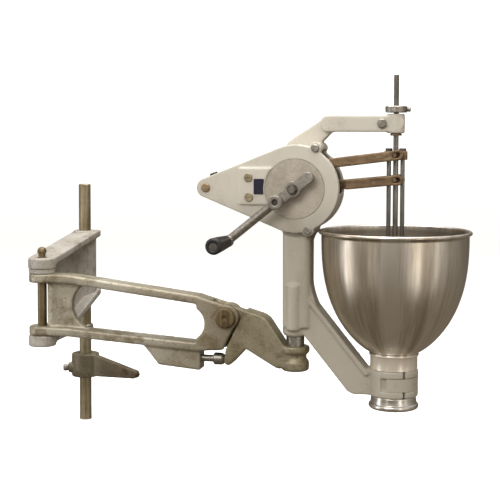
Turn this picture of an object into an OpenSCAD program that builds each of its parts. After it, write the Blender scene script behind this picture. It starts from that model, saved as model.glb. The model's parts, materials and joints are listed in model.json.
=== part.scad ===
// Hand-cranked batter depositor on a swing-arm mount.
// The post stands on the origin, +Z is up, +X runs from the post to the hopper, -Y faces the user.

/* [Layout] */
// Distance from the post to the hinge pin
bracket_reach = 235; // [215:1:270]
// Distance from the hinge pin to the tilt bolt
arm_reach = 378; // [350:1:420]
// Distance from the tilt bolt to the swivel pin
knuckle_reach = 130; // [122:1:145]
// Distance from the swivel pin to the axis of the hopper
hopper_reach = 185; // [178:1:200]
// Distance from the lever pivot to the crankshaft
lever_reach = 168; // [160:1:185]
// Height of the crankshaft over the foot of the column
shaft_rise = 278; // [270:1:300]
// Drop of the tilt bolt below the middle of the hinge
tilt_drop = 11; // [4:1:18]

/* [Post and lever collar] */
// Radius of the post
post_r = 12.7; // [11:0.1:15]
// Length of the post
post_h = 510; // [450:5:600]
// Height of the lever collar over the foot of the post
collar_z = 94; // [80:1:110]
// Outer radius of the lever collar
collar_r = 29.5; // [26:0.5:34]
// Height of the lever collar
collar_h = 50; // [40:1:56]
// Length of the collar's lever from the axis of the post
handle_len = 140; // [110:1:160]
// Radius of the lever's tip
handle_tip_r = 8.5; // [7:0.5:11]
// Thickness of the lever
handle_t = 17; // [12:1:22]
// Swing of the lever towards the user, in degrees
handle_turn = 18; // [0:1:40]
// Height of the stop ring over the foot of the post
ring_z = 192; // [185:1:200]
// Outer radius of the stop ring
ring_r = 17; // [16:0.5:22]
// Height of the stop ring
ring_h = 15; // [10:1:20]

/* [Hinge] */
// Height of the bracket's lower ear over the foot of the post
ear_z = 201; // [190:1:215]
// Radius of the ears
ear_r = 27; // [24:0.5:32]
// Height of a bracket ear
bracket_ear_h = 22; // [18:1:26]
// Height of an arm ear
arm_ear_h = 18; // [16:1:22]
// Clear height between the ears of the arm
arm_ear_gap = 86; // [76:1:95]
// Height of the hinge washer
washer_h = 8; // [4:0.5:12]
// Radius of the hinge pin
hinge_r = 9; // [7:0.5:11]

/* [Bracket] */
// Width of the flanges
flange_w = 56; // [48:1:64]
// Thickness of the flanges
flange_t = 14; // [10:1:18]
// Thickness of the web
web_t = 13; // [10:1:18]
// Rise of the top flange from the hinge to the post
bracket_rise = 35; // [20:1:60]
// Height of the boss on the post
bracket_boss_h = 140; // [120:1:155]
// Radius of the boss on the post
bracket_boss_r = 24; // [20:0.5:28]

/* [Swing arm] */
// Width of the arm
arm_w = 44; // [40:1:52]
// Height of a tine
tine_h = 16; // [12:1:20]
// Drop of the upper tine along its length
upper_tine_drop = 31; // [20:1:40]
// Drop of the lower tine along its length
lower_tine_drop = 17; // [10:1:24]
// Radius of the tilt joint's cheeks
cheek_r = 25; // [22:0.5:28]
// Width of the slot between the cheeks
tongue_w = 20; // [16:1:24]
// Radius of the tilt bolt
tilt_r = 8; // [6:0.5:10]
// Radius of the tilt bolt's head
tilt_head_r = 19; // [16:0.5:22]
// Height of the tilt bolt's head
tilt_head_h = 9; // [6:0.5:12]
// Radius of the levelling screw
level_r = 6.5; // [5:0.5:8]
// Radius of the levelling screw's head
level_head_r = 11.5; // [9:0.5:13]
// Drop of the levelling screw below the tilt bolt
level_drop = 82; // [78:1:90]

/* [Knuckle] */
// Radius of the gooseneck's hump
hump_r = 35; // [32:0.5:38]
// Radius of the gooseneck where it meets the socket
neck_r = 20; // [17:0.5:23]
// Radius of the socket's upper ring
socket_r = 27; // [24:0.5:30]
// Height of the socket
socket_h = 47; // [42:1:54]
// Drop of the socket's foot below the tilt bolt
socket_drop = 97; // [92:1:104]
// Radius of the swivel pin
swivel_r = 12; // [10:0.5:14]
// Radius of the swivel pin's shoulder
shoulder_r = 17; // [15:0.5:20]
// Height of the swivel pin's shoulder
shoulder_h = 18; // [12:1:24]

/* [Frame] */
// Width of the column
column_w = 54; // [48:1:60]
// Depth of the column
column_d = 52; // [46:1:58]
// Offset of the column's middle from the swivel pin, towards the hopper
column_shift = 5; // [0:0.5:8]
// Radius of the foot boss
foot_r = 24; // [22:0.5:26]
// Height of the foot boss
foot_h = 25; // [22:1:30]
// Width of the lower arm
lower_arm_w = 53; // [48:1:60]
// Thickness of the lower arm
lower_arm_t = 36; // [28:1:42]
// Drop of the clamp collar's foot below the column's foot
clamp_drop = 102; // [96:1:108]
// Outer radius of the clamp collar
clamp_r = 45; // [43:0.5:48]
// Height of the clamp collar
clamp_h = 50; // [44:1:56]
// Height of the top arm
top_arm_w = 31; // [26:1:36]
// Thickness of the top arm
top_arm_t = 26; // [20:1:30]
// Rise of the top arm's middle over the crankshaft
top_arm_rise = 120; // [114:1:130]
// Radius of the guide boss
guide_r = 16; // [14:0.5:19]
// Height of the guide boss
guide_h = 36; // [30:1:42]

/* [Head] */
// Outer radius of the drum
drum_r = 81; // [78:0.5:86]
// Outer radius of the nose
nose_r = 18; // [16:0.5:21]
// Wall of the drum
drum_wall = 6; // [5:0.5:8]
// Depth of the frame's half of the drum
back_d = 36; // [32:1:42]
// Depth of the cover's half of the drum
front_d = 42; // [38:1:48]
// Radius of the bearing plate
plate_r = 55; // [50:0.5:60]
// Radius of the crankshaft
shaft_r = 9; // [7:0.5:11]
// Radius of the lever pin
lever_pin_r = 6; // [5:0.5:7]
// Radius of the cam
cam_r = 66; // [64:0.5:70]
// Thickness of the cam
cam_t = 16; // [14:1:18]
// Depth of a cam groove
groove_d = 5; // [4:0.5:6]
// Radius of a cam roller
roller_r = 7; // [6:0.25:8]

/* [Levers and rods] */
// Height of a lever
lever_h = 18; // [15:0.5:20]
// Thickness of a lever
lever_t = 10; // [8:0.5:12]
// Rise of the upper lever's eye over the crankshaft
upper_eye_rise = 62; // [58:1:66]
// Rise of the lower lever's eye over the crankshaft
lower_eye_rise = 17; // [12:1:20]
// Lift of the upper lever over the stroke, in degrees
upper_lift = 3.5; // [2:0.1:4]
// Lift of the lower lever over the stroke, in degrees
lower_lift = 6; // [4:0.1:6.5]
// Turn of the crank that lifts the levers, in degrees
stroke_turn = 180; // [120:5:240]
// Radius of the centre rod
centre_rod_r = 4.75; // [4:0.25:5.5]
// Radius of an outer rod
outer_rod_r = 4; // [3:0.25:4.5]
// Distance of an outer rod from the centre rod
outer_rod_dx = 12.5; // [12:0.1:14]
// Rise of the centre rod's top over the crankshaft
rod_top_rise = 209; // [190:1:230]

/* [Crank] */
// Crank radius
crank_len = 153; // [130:1:190]
// Droop of the crank below the level at rest, in degrees
crank_droop = 39; // [0:1:60]
// Radius of the crank arm
crank_r = 8; // [6:0.5:10]
// Distance of the crank arm's boss from the crankshaft
crank_boss_reach = 37; // [34:1:48]
// Radius of the crank arm's boss
crank_boss_r = 13; // [11:0.5:15]
// Length of the grip
grip_len = 92; // [70:1:110]
// Radius of the grip's outer end
grip_r = 15; // [13:0.5:18]
// Radius of the grip's inner end
grip_root_r = 11.5; // [10:0.5:13]

/* [Hopper and outlet] */
// Gap between the column and the hopper's wall at its rim
bowl_gap = 18; // [12:1:26]
// Height of the hopper's bowl
bowl_h = 220; // [205:1:232]
// Radius of the hopper's neck
hopper_neck_r = 44; // [42:0.5:46]
// Height of the hopper's neck
hopper_neck_h = 31; // [24:1:36]
// Wall of the hopper
hopper_wall = 1.8; // [1.2:0.1:2.5]
// Radius of the rolled rim
bead_r = 3.5; // [2.5:0.1:5]
// Radius of the outlet's bore
bore_r = 25; // [22:0.5:27]
// Outer radius of the cylinder in the clamp
cylinder_r = 34; // [32:0.5:36]
// Radius of the outlet ring
outlet_r = 46; // [44:0.5:50]
// Height of the outlet ring
outlet_h = 24; // [18:1:28]
// Height of the piston
piston_h = 20; // [14:1:24]
// Height of the drop disc
disc_h = 9; // [6:1:12]

/* [Hidden] */
$fn = 96;
// Radial clearance of what turns or slides
run_fit = 0.06;
// Radial clearance of what is fixed
seat_fit = 0.02;
// Gap between flat faces that pass each other
face_gap = 0.2;
// Clearance of the rollers and slots
slot_fit = 0.25;
// Overrun of every cut
over = 1;
// Clear space round what swings
swing_gap = 3;
// Bevel of turned edges
edge = 1.5;
// How far a straight side lies inside the circles that it joins
join_in = 0.15;
// Step of a round corner, in degrees
corner_step = 15;
// Rounding of cast edges
cast_r = 6;

// Heights up the hinge
bracket_low_top = ear_z + bracket_ear_h;
arm_low_z = bracket_low_top + face_gap;
arm_up_z = arm_low_z + arm_ear_h + arm_ear_gap;
washer_z = arm_up_z + arm_ear_h;
bracket_up_z = washer_z + washer_h + face_gap;
bracket_up_top = bracket_up_z + bracket_ear_h;
hinge_mid_z = (arm_low_z + washer_z) / 2;
bracket_top_z = bracket_up_top + bracket_rise;
bracket_foot_z = bracket_top_z - bracket_boss_h;

// Heights and places up the depositor
tilt_z = hinge_mid_z - tilt_drop;
socket_z = tilt_z - socket_drop;
shoulder_z = socket_z + socket_h;
foot_z = shoulder_z + shoulder_h;
shaft_z = foot_z + shaft_rise;
clamp_z = foot_z - clamp_drop;
clamp_top = clamp_z + clamp_h;
outlet_z = clamp_z - outlet_h;
guide_z = shaft_z + top_arm_rise - guide_h / 2;
guide_top = guide_z + guide_h;
swivel_x = arm_reach + knuckle_reach;
shaft_to_hopper = hopper_reach - column_shift;

// Shared shapes

// Outline in X and Z carried from y0 to y1
module along_y(y0, y1)
    translate([0, y1, 0])
        rotate([90, 0, 0])
            linear_extrude(y1 - y0)
                children();

// Outline in Y and Z carried from x0 to x1
module along_x(x0, x1)
    translate([x0, 0, 0])
        rotate([90, 0, 90])
            linear_extrude(x1 - x0)
                children();

// Straight bar between two points
module bar(a, b, w)
    translate(a)
        rotate(atan2(b.y - a.y, b.x - a.x))
            translate([0, -w / 2])
                square([norm(b - a), w]);

function polar(r, turn) = r * [cos(turn), sin(turn)];

// Touching points of the two outer tangents of two circles
function tangent_points(p, rp, q, rq) =
    let (dir = atan2(q.y - p.y, q.x - p.x), a = acos((rp - rq) / norm(q - p)))
        [p + polar(rp, dir + a), q + polar(rq, dir + a), q + polar(rq, dir - a), p + polar(rp, dir - a)];

// Two circles with a straight-sided body between them, whose sides cross the circles
module taper(p, rp, q, rq) {
    translate(p)
        circle(rp);
    translate(q)
        circle(rq);
    polygon(tangent_points(p, rp - join_in, q, rq - join_in));
}

// Rectangle about the origin with round corners
module round_rect(w, d, r)
    polygon([for (k = [0 : 3], a = [0 : corner_step : 90])
        [(k == 0 || k == 3 ? 1 : -1) * (w / 2 - r), (k < 2 ? 1 : -1) * (d / 2 - r)]
            + polar(r, 90 * k + a)]);

// Upright cylinder with bevelled edges
module turned(r, h, bevel)
    rotate_extrude()
        polygon([[0, 0], [r - bevel, 0], [r, bevel], [r, h - bevel], [r - bevel, h], [0, h]]);

// Ring with bevelled edges and a bore
module ring(r, bore, h, bevel)
    difference() {
        turned(r, h, bevel);
        translate([0, 0, -over])
            cylinder(r = bore, h = h + 2 * over);
    }

// Hexagonal nut about a bore, across the flats
module hex_nut(across, bore, h)
    difference() {
        cylinder(d = across / cos(30), h = h, $fn = 6);
        translate([0, 0, -over])
            cylinder(r = bore, h = h + 2 * over);
    }

// Places of the parts that carry the others
module at_hinge() translate([0, -bracket_reach, 0]) children();
module at_tilt() translate([arm_reach, -bracket_reach, tilt_z]) children();
module at_swivel() translate([swivel_x, -bracket_reach, 0]) children();
module at_shaft() translate([swivel_x + column_shift, -bracket_reach, shaft_z]) children();
module at_hopper() translate([swivel_x + hopper_reach, -bracket_reach, 0]) children();
// Turns what is drawn upright so that it points to the user
module to_user() rotate([90, 0, 0]) children();

// Post and lever collar

// Groove that marks the end of the post's foot
mark_h = 3;
mark_d = 0.5;
post_foot_len = collar_z - mark_h;
collar_screw_r = 4.5;
collar_screw_head_r = 7;
collar_screw_head_h = 11;
collar_boss_r = 11;
collar_boss_out = 7;
collar_screw_turn = 205;
collar_screw_share = 0.38;

module post()
    color("#7d7a66")
        rotate_extrude()
            polygon([[0, 0], [post_r, 0], [post_r, post_foot_len], [post_r - mark_d, post_foot_len],
                [post_r - mark_d, post_foot_len + mark_h], [post_r, post_foot_len + mark_h],
                [post_r, post_h - edge], [post_r - edge, post_h], [0, post_h]]);

module stop_ring()
    color("#8d8f8c")
        translate([0, 0, ring_z])
            ring(ring_r, post_r + seat_fit, ring_h, edge);

// Points X along the collar screw's axis
module on_collar_screw()
    translate([0, 0, collar_z + collar_h * collar_screw_share])
        rotate([0, 0, collar_screw_turn])
            rotate([0, 90, 0])
                children();

module lever_collar()
    color("#a39a88")
        difference() {
            union() {
                translate([0, 0, collar_z])
                    turned(collar_r, collar_h, edge);
                rotate([0, 0, -handle_turn])
                    along_y(-handle_t / 2, handle_t / 2)
                        taper([collar_r - handle_t / 2, collar_z + collar_h / 2], collar_h / 2 - edge,
                            [handle_len - handle_tip_r, collar_z + collar_h / 2 - handle_tip_r],
                            handle_tip_r);
                on_collar_screw()
                    cylinder(r = collar_boss_r, h = collar_r + collar_boss_out);
            }
            translate([0, 0, collar_z - over])
                cylinder(r = post_r + run_fit, h = collar_h + 2 * over);
            on_collar_screw()
                cylinder(r = collar_screw_r + run_fit, h = collar_r + collar_boss_out + over);
        }

module collar_screw()
    color("#c9c8c2")
        on_collar_screw() {
            translate([0, 0, post_r + face_gap])
                cylinder(r = collar_screw_r, h = collar_r + collar_boss_out - post_r);
            translate([0, 0, collar_r + collar_boss_out + face_gap])
                turned(collar_screw_head_r, collar_screw_head_h, edge);
        }

// Bracket and hinge

// Length of the level stretch of the bottom flange, from the hinge pin
flange_flat = 62;
// Distance from the hinge pin to the edge of the web
web_start = 42;
bracket_screw_r = 6;
bracket_screw_head = 15;
bracket_screw_head_h = 11;
bracket_screw_share = 0.6;
pin_head_r = 9;
pin_head_h = 12;
pin_neck_r = 7;
pin_neck_h = 9;
pin_len = bracket_up_top - ear_z;

module bracket()
    color("#a8a090")
        difference() {
            union() {
                translate([0, 0, bracket_foot_z])
                    turned(bracket_boss_r, bracket_boss_h, edge);
                at_hinge() {
                    translate([0, 0, ear_z])
                        turned(ear_r, bracket_ear_h, edge);
                    translate([0, 0, bracket_up_z])
                        turned(ear_r, bracket_ear_h, edge);
                }
                along_x(-flange_w / 2, flange_w / 2) {
                    polygon([[bracket_boss_r, bracket_top_z - flange_t], [bracket_boss_r, bracket_top_z],
                        [-bracket_reach, bracket_up_top], [-bracket_reach, bracket_up_top - flange_t]]);
                    polygon([[bracket_boss_r, bracket_foot_z], [bracket_boss_r, bracket_foot_z + flange_t],
                        [flange_flat - bracket_reach, bracket_low_top], [-bracket_reach, bracket_low_top],
                        [-bracket_reach, bracket_low_top - flange_t],
                        [flange_flat - bracket_reach, bracket_low_top - flange_t]]);
                }
                along_x(-web_t / 2, web_t / 2)
                    polygon([[0, bracket_foot_z], [0, bracket_top_z],
                        [web_start - bracket_reach, bracket_up_top - flange_t / 2],
                        [web_start - bracket_reach, bracket_low_top - flange_t / 2],
                        [flange_flat - bracket_reach, bracket_low_top - flange_t / 2]]);
            }
            translate([0, 0, ear_z])
                cylinder(r = post_r + run_fit, h = bracket_top_z - ear_z + over);
            at_hinge()
                translate([0, 0, ear_z - over])
                    cylinder(r = hinge_r + seat_fit, h = bracket_up_top - ear_z + 2 * over);
            on_bracket_screw()
                cylinder(r = bracket_screw_r + seat_fit, h = bracket_boss_r + over);
        }

// Points Z out of the back of the boss
module on_bracket_screw()
    translate([0, 0, bracket_foot_z + bracket_boss_h * bracket_screw_share])
        rotate([-90, 0, 0])
            children();

module bracket_screw()
    color("#6f6a60")
        on_bracket_screw() {
            translate([0, 0, post_r + face_gap])
                cylinder(r = bracket_screw_r, h = bracket_boss_r - post_r);
            translate([0, 0, bracket_boss_r + face_gap])
                linear_extrude(bracket_screw_head_h)
                    square(bracket_screw_head, center = true);
        }

// Straight pin with a necked, domed head
module hinge_pin()
    color("#6b5c44")
        at_hinge()
            translate([0, 0, ear_z])
                rotate_extrude()
                    polygon(concat([[0, 0], [hinge_r, 0], [hinge_r, pin_len], [pin_neck_r, pin_len],
                        [pin_neck_r, pin_len + pin_neck_h]],
                        [for (a = [0 : corner_step : 90]) [pin_head_r * cos(a),
                            pin_len + pin_neck_h + pin_head_h - pin_head_r * (1 - sin(a))]]));

module hinge_washer()
    color("#4d4a44")
        at_hinge()
            translate([0, 0, washer_z + face_gap / 2])
                ring(ear_r - edge, hinge_r + run_fit, washer_h, edge / 2);

// Swing arm

// Length of the level stretch of the tines, from the hinge pin
tine_flat = 60;
// Distances back from the tilt bolt to the landmarks of the arm's end
tine_back = 58;
window_back = 42;
window_r = 33;
block_t = 36;
block_back = 51;
block_slope_back = 133;
block_root_back = 165;
// Drops below the tilt bolt to the landmarks of the arm's end
cheek_drop = 62;
block_drop = 103;
block_slope_drop = 96;
// Reach of the cheeks' edge past the tilt bolt, at its top and at its foot
seam_top_dx = 24;
seam_foot_dx = -6;
seam_gap = 5;
arm_slot_len = 100;
hinge_web_t = 16;
hinge_web_start = 14;
hinge_web_end = 100;
hinge_web_scoop_r = 46;
hinge_rib_r = 11;
level_head_len = 24;
level_shank_len = 66;
level_len = level_head_len + level_shank_len;
tilt_nut_h = 12;
tilt_nut_across = 26;
tilt_dimple_r = 4;
tilt_dimple_d = 3;

upper_tine_z = arm_up_z + arm_ear_h / 2;
lower_tine_z = arm_low_z + arm_ear_h / 2;
upper_end = [arm_reach - tine_back, upper_tine_z - upper_tine_drop];
lower_end = [arm_reach - tine_back, lower_tine_z - lower_tine_drop];

// A tine: level by the hinge, then sloping down to the arm's end
module tine(start_z, end) {
    bar([0, start_z], [tine_flat, start_z], tine_h);
    translate([tine_flat, start_z])
        circle(tine_h / 2 + join_in);
    bar([tine_flat, start_z], end, tine_h);
    translate(end)
        circle(tine_h / 2 + join_in);
}

// Side of the arm's end, up to the slanting edge of the cheeks
module cheek_outline() {
    polygon([[arm_reach - tine_back, upper_end.y + tine_h / 2 - join_in],
        [arm_reach, tilt_z + cheek_r - edge],
        [arm_reach + seam_top_dx, tilt_z], [arm_reach + seam_foot_dx, tilt_z - cheek_drop],
        [arm_reach - tine_back, lower_end.y + join_in - tine_h / 2]]);
    translate([arm_reach, tilt_z])
        circle(cheek_r);
}

module swing_arm()
    color("#b5ad9c")
        at_hinge()
            difference() {
                union() {
                    for (z = [arm_low_z, arm_up_z])
                        translate([0, 0, z])
                            turned(ear_r - edge, arm_ear_h, edge);
                    along_y(-arm_w / 2, arm_w / 2) {
                        tine(upper_tine_z, upper_end);
                        tine(lower_tine_z, lower_end);
                        difference() {
                            cheek_outline();
                            translate([arm_reach - window_back - window_r, (upper_end.y + lower_end.y) / 2])
                                circle(window_r);
                        }
                    }
                    along_y(-block_t / 2, block_t / 2)
                        polygon([[arm_reach - block_root_back, lower_end.y],
                            [arm_reach - block_slope_back, tilt_z - block_slope_drop],
                            [arm_reach - block_back, tilt_z - block_drop],
                            [arm_reach - block_back, lower_end.y]]);
                    along_y(-hinge_web_t / 2, hinge_web_t / 2)
                        difference() {
                            translate([hinge_web_start, lower_tine_z])
                                square([hinge_web_end - hinge_web_start, upper_tine_z - lower_tine_z]);
                            translate([hinge_web_end + hinge_rib_r, hinge_mid_z])
                                circle(hinge_web_scoop_r);
                        }
                    translate([hinge_web_start + hinge_rib_r, 0, lower_tine_z])
                        cylinder(r = hinge_rib_r, h = upper_tine_z - lower_tine_z);
                }
                translate([0, 0, arm_low_z - over])
                    cylinder(r = hinge_r + run_fit, h = washer_z - arm_low_z + 2 * over);
                arm_slot();
                translate([arm_reach, 0, tilt_z])
                    to_user()
                        cylinder(r = tilt_r + seat_fit, h = arm_w + 2 * over, center = true);
                translate([arm_reach - block_back - level_shank_len, 0, tilt_z - level_drop])
                    rotate([0, 90, 0])
                        cylinder(r = level_r + run_fit, h = level_shank_len + over);
            }

// Slot that takes the knuckle's tongue
module arm_slot()
    translate([arm_reach - cheek_r - swing_gap, -tongue_w / 2 - face_gap, tilt_z - block_drop - over])
        cube([arm_slot_len, tongue_w + 2 * face_gap, block_drop + cheek_r + tine_h + over]);

// Points Z to the right, out of the lower block's end
module on_level_screw()
    translate([arm_reach, -bracket_reach, tilt_z - level_drop])
        rotate([0, 90, 0])
            children();

module tilt_bolt()
    color("#b0a894")
        at_tilt()
            to_user()
                difference() {
                    union() {
                        translate([0, 0, -arm_w / 2 - tilt_nut_h])
                            cylinder(r = tilt_r, h = arm_w + tilt_nut_h);
                        translate([0, 0, arm_w / 2])
                            turned(tilt_head_r, tilt_head_h, edge);
                    }
                    translate([0, 0, arm_w / 2 + tilt_head_h - tilt_dimple_d])
                        cylinder(r = tilt_dimple_r, h = tilt_dimple_d + over);
                }

module tilt_nut()
    color("#7c776c")
        at_tilt()
            to_user()
                translate([0, 0, -arm_w / 2 - tilt_nut_h])
                    hex_nut(tilt_nut_across, tilt_r + seat_fit, tilt_nut_h);

// Screw whose domed head bears on the knuckle's heel
module level_screw()
    color("#c8c4b8")
        on_level_screw()
            translate([0, 0, heel_dx - heel_r - slot_fit])
                rotate_extrude()
                    polygon(concat([[0, -level_len], [level_r, -level_len],
                        [level_r, -level_head_len], [level_head_r - edge, -level_head_len],
                        [level_head_r, edge - level_head_len]],
                        [for (a = [0 : corner_step : 90]) level_head_r * [cos(a), sin(a) - 1]]));

// Knuckle: tongue, gooseneck, heel and socket

heel_r = 8;
heel_dx = 5;
hump_x_share = 0.42;
hump_z_share = 0.27;
neck_z_share = 0.74;
neck_back = 26;
heel_root_r = 24;
heel_root_share = 0.42;
hump_at = [knuckle_reach * hump_x_share, -socket_drop * hump_z_share];
neck_at = [knuckle_reach - neck_back, -socket_drop * neck_z_share];
heel_at = [heel_dx, -level_drop];
heel_root_at = [hump_at.x / 2, -level_drop * heel_root_share];
// Outline of the socket: radius as a share of socket_r, height as a share of socket_h
socket_shares = [[0.86, 0], [0.97, 0.08], [0.97, 0.36], [0.78, 0.52], [0.78, 0.64], [1, 0.76], [1, 0.94],
    [0.95, 1]];
swivel_len = 92;

function seam_x(z) = seam_foot_dx + seam_gap + (z + cheek_drop) * (seam_top_dx - seam_foot_dx) / cheek_drop;

module knuckle()
    color("#aba391")
        at_tilt()
            difference() {
                union() {
                    along_y(-tongue_w / 2, tongue_w / 2)
                        taper([0, 0], cheek_r - edge, hump_at, hump_r - swing_gap);
                    along_y(-arm_w / 2, arm_w / 2)
                        intersection() {
                            union() {
                                polygon(tangent_points([0, 0], cheek_r - join_in,
                                    hump_at, hump_r - join_in));
                                taper(hump_at, hump_r, neck_at, neck_r);
                                bar(neck_at, [knuckle_reach + over, neck_at.y], 2 * (neck_r - join_in));
                                taper(heel_root_at, heel_root_r, heel_at, heel_r);
                            }
                            polygon([[seam_x(hump_r), hump_r], [knuckle_reach, hump_r],
                                [knuckle_reach, -socket_drop], [seam_x(-socket_drop), -socket_drop]]);
                        }
                    translate([knuckle_reach, 0, -socket_drop])
                        rotate_extrude()
                            polygon(concat([[0, 0]],
                                [for (s = socket_shares) [s.x * socket_r, s.y * socket_h]],
                                [[0, socket_h]]));
                }
                to_user()
                    cylinder(r = tilt_r + run_fit, h = arm_w + 2 * over, center = true);
                translate([knuckle_reach, 0, -socket_drop - over])
                    cylinder(r = swivel_r + seat_fit, h = socket_h + 2 * over);
            }

module swivel_pin()
    color("#8a8578")
        at_swivel()
            rotate_extrude()
                polygon([[0, socket_z], [swivel_r - edge, socket_z], [swivel_r, socket_z + edge],
                    [swivel_r, shoulder_z], [shoulder_r, shoulder_z], [shoulder_r, foot_z - face_gap],
                    [swivel_r, foot_z - face_gap], [swivel_r, foot_z + swivel_len - edge],
                    [swivel_r - edge, foot_z + swivel_len], [0, foot_z + swivel_len]]);

// Frame: column, drum back, lower arm with clamp collar, top arm with guide boss

column_corner_r = 13;
foot_round = 9;
pad_bulge_r = 14;
pad_bulge_out = 8;
pad_bulge_z = 14;
pad_bulge_h = 86;
knee_back = 67;
arm_root_share = 1.19;
rib_w = 9;
rib_proud = 5;
top_knee_share = 0.33;
root_dx = 2;
root_rise = 71;
root_r = 23;
lower_fillet = 50;
top_fillet = 22;
curve_shares = [0 : 0.125 : 1];
flare_share = 0.75;
flare_drop_share = 1.1;
lug_r = 11;
lug_reaches = [84, 80];
lug_turns = [63, -72];
cover_screw_r = 4;
cover_screw_head_r = 7.2;
cover_screw_head_h = 6;
cover_screw_in = 20;
floor_t = 8;
lever_gap = 2;
exit_share = 0.4;
column_top_share = 0.45;
exit_low = 9;
exit_high_share = 0.88;
head_clear = 0.3;
bush_r = 9;
bush_flange_r = 10.5;
bush_flange_h = 4;
guide_bolt_dx = 24;
guide_bolt_r = 4.5;
guide_bolt_head_r = 8.6;
guide_bolt_head_h = 6;
split_turn = -58;
split_w = 4;
pocket_d = 6;
pocket_h = 24;
pocket_from = -58;
pocket_to = 62;
bridge_from = -42;
bridge_play = 1;
clamp_screw_r = 3;
clamp_screw_turns = [-22, 30];

column_z = foot_z + foot_h - cast_r;
lever_y = cam_t / 2 + lever_gap;
exit_y = lever_y + lever_t + swing_gap;
lower_from = [column_shift, foot_z + lower_arm_w * arm_root_share];
lower_to = [hopper_reach - knee_back, clamp_z + lower_arm_w / 2];
lower_dir = (lower_to - lower_from) / norm(lower_to - lower_from);

top_knee = [hopper_reach * top_knee_share, shaft_z + top_arm_rise];
lower_up = [-lower_dir.y, lower_dir.x];
rib_shift = lower_up * ((lower_arm_w - rib_w) / 2 + edge);
lower_edge = lower_from + lower_up * (lower_arm_w / 2 - edge);
lower_corner = lower_edge + lower_dir * (column_shift + column_w / 2 - edge - lower_edge.x) / lower_dir.x;
top_root = [root_dx, shaft_z + root_rise];
top_dir = (top_root - top_knee) / norm(top_root - top_knee);
top_edge = top_knee + [-top_dir.y, top_dir.x] * (top_arm_w / 2 - 2 * edge);
top_corner = top_edge + top_dir * (top_knee.y - top_arm_w / 2 + edge - top_edge.y) / top_dir.y;
lug_places = [for (i = [0 : 1]) polar(lug_reaches[i], lug_turns[i])];

// Side of the drum and its nose, with the cover's lugs, about the crankshaft
module head_outline(grow, lugs = true) {
    taper([0, 0], drum_r + grow, [-lever_reach, 0], nose_r + grow);
    if (lugs)
        for (p = lug_places)
            taper(p * (drum_r - 2 * lug_r) / norm(p), lug_r + grow - edge, p, lug_r + grow);
}

// Fill of an inside corner: its edge leaves a towards the corner and bends over to b
module inside_curve(a, corner, b)
    polygon(concat([2 * corner - (a + b) / 2],
        [for (s = curve_shares) pow(1 - s, 2) * a + 2 * s * (1 - s) * corner + s * s * b]));

// Opening in the drum's wall that the levers come out of
module lever_exit(y0, y1)
    along_y(y0, y1)
        translate([drum_r * exit_share, -exit_low])
            square([drum_r, exit_low + drum_r * exit_high_share]);

// Upright cylinder with rounded edges
module round_turned(r, h, rounding)
    rotate_extrude()
        polygon(concat([[0, 0]],
            [for (a = [-90 : corner_step : 0]) [r - rounding, rounding] + polar(rounding, a)],
            [for (a = [0 : corner_step : 90]) [r - rounding, h - rounding] + polar(rounding, a)],
            [[0, h]]));

// Sector of a ring in the clamp collar's pocket, turned from the split
module pocket_sector(r0, r1, from, to, h)
    translate([0, 0, clamp_z + (clamp_h - h) / 2])
        rotate([0, 0, split_turn + from])
            rotate_extrude(angle = to - from)
                translate([r0, 0])
                    square([r1 - r0, h]);

module on_clamp_screws()
    at_hopper()
        for (t = clamp_screw_turns)
            translate([0, 0, clamp_z + clamp_h / 2])
                rotate([0, 0, split_turn + t])
                    rotate([0, 90, 0])
                        children();

module column()
    difference() {
        union() {
            translate([column_shift, 0, column_z])
                linear_extrude(shaft_z - drum_r * column_top_share - column_z)
                    round_rect(column_w, column_d, column_corner_r);
            translate([0, pad_bulge_r - column_d / 2 - pad_bulge_out, foot_z + pad_bulge_z])
                round_turned(pad_bulge_r, pad_bulge_h, cast_r / 2);
        }
        translate([column_shift, 0, shaft_z])
            along_y(-column_d, face_gap)
                head_outline(head_clear);
    }

module lower_arm() {
    along_y(-lower_arm_t / 2, lower_arm_t / 2) {
        taper(lower_from, lower_arm_w / 2, lower_to, lower_arm_w / 2);
        bar([lower_to.x, clamp_z + clamp_h / 2], [hopper_reach, clamp_z + clamp_h / 2], clamp_h - edge);
        inside_curve(lower_corner + [0, lower_fillet], lower_corner, lower_corner + lower_dir * lower_fillet);
    }
    along_y(-lower_arm_t / 2 - rib_proud, lower_arm_t / 2 + rib_proud)
        taper(lower_from + rib_shift, rib_w / 2, lower_to + rib_shift, rib_w / 2);
    translate([hopper_reach, 0, clamp_z])
        turned(clamp_r, clamp_h, edge);
}

module top_arm() {
    along_y(face_gap, top_arm_t)
        taper(top_knee, top_arm_w / 2 - edge, top_root, root_r);
    along_y(face_gap + edge, top_arm_t / 2 - edge)
        inside_curve(top_corner + [top_fillet, 0], top_corner, top_corner + top_dir * top_fillet);
    along_y(-top_arm_t / 2, top_arm_t / 2)
        taper(top_knee, top_arm_w / 2, [hopper_reach, top_knee.y], top_arm_w / 2);
    translate([hopper_reach, 0, guide_z])
        turned(guide_r, guide_h, edge);
}

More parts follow.
